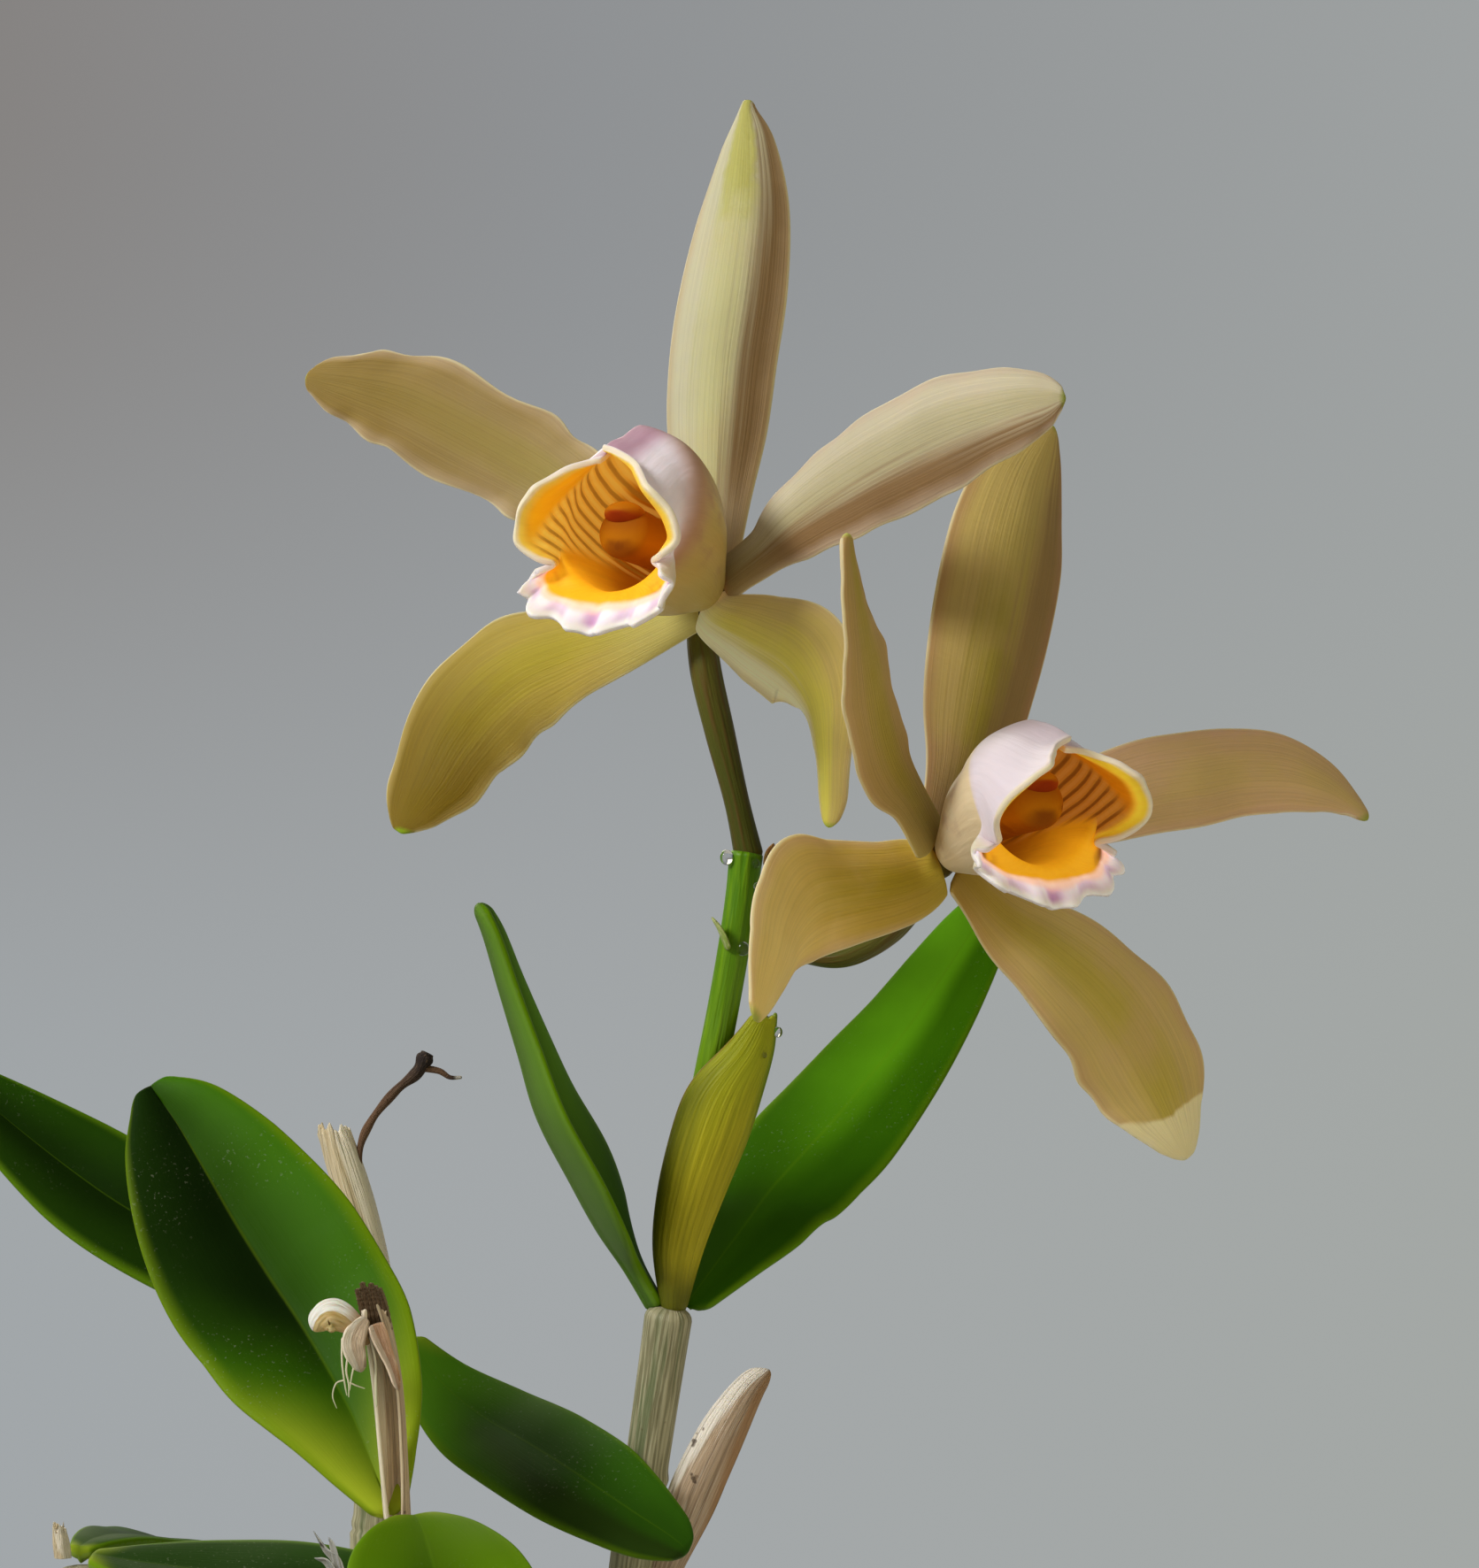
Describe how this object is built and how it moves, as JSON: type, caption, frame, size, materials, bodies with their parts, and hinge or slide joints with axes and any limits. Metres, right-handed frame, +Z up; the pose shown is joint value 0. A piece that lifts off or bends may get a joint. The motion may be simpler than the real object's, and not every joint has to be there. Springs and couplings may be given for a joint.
{
  "type": "potted cattleya orchid",
  "caption": "Slender-caned cattleya orchid in bloom in a plain clay pot of bark, with leathery leaves, olive-tan tepals and frilled pale pink and golden lips.",
  "frame": {"origin": "centre of the pot's flat underside, on the surface that the pot stands on", "axes": "+Z up, +Y away from the viewer who looks at the flowers, +X to that viewer's right"},
  "size_m": [0.1873, 0.1429, 0.3806],
  "materials": {
    "clay": "unglazed terracotta, matt, slightly chalky",
    "bark": "coarse fir bark chips, rough and dry",
    "rhizome": "woody creeping stem, dull",
    "root": "spongy whitish root skin, matt",
    "cane": "slender cane under a papery silver-beige skin with grey-green streaks",
    "leaf": "stiff leathery leaf, glossy deep green, paler along the edges",
    "green_sheath": "flattened olive-yellow flower sheath, satin",
    "husk": "dry papery sheath, tan to grey-brown, ribbed",
    "stem": "smooth green flower stem, satin",
    "pedicel": "dark olive flower stalk, satin",
    "tepal": "waxy olive-tan petal tissue with pinkish brown margins",
    "lip": "pale lilac-pink outside, golden with brown veins inside, frilled margin",
    "column": "waxy golden column with a dark red-brown tip",
    "dead_stem": "dry dark brown stem"
  },
  "bodies": {
    "root": {"pot": "clay", "bark_bed": "bark", "rhizome_back": "rhizome", "rhizome_front": "rhizome", "root_right": "root", "root_front": "root", "root_left": "root", "root_back": "root", "cane_flowering": "cane", "cane_front": "cane", "cane_back": "cane", "cane_left": "cane", "leaf_top_right": "leaf", "leaf_top_left": "leaf", "leaf_front_tall": "leaf", "leaf_front_low": "leaf", "leaf_back_left": "leaf", "leaf_back_right": "leaf", "leaf_left_long": "leaf", "leaf_left_short": "leaf", "flower_sheath": "green_sheath", "bract_upper": "green_sheath", "bract_lower": "green_sheath", "dry_sheath_front": "husk", "dry_sheath_back": "husk", "dry_sheath_left": "husk", "curled_husk": "husk", "cane_husk": "husk", "dead_flower_stem": "dead_stem", "flower_stem": "stem", "flower_stalk_1": "pedicel", "flower_stalk_2": "pedicel", "sepal_top_1": "tepal", "petal_left_1": "tepal", "petal_right_1": "tepal", "sepal_left_1": "tepal", "sepal_right_1": "tepal", "sepal_top_2": "tepal", "petal_left_2": "tepal", "petal_right_2": "tepal", "sepal_left_2": "tepal", "sepal_right_2": "tepal", "lip_1": "lip", "lip_2": "lip", "column_1": "column", "column_2": "column", "anther_cap_1": "column", "anther_cap_2": "column"}
  },
  "joints": []
}
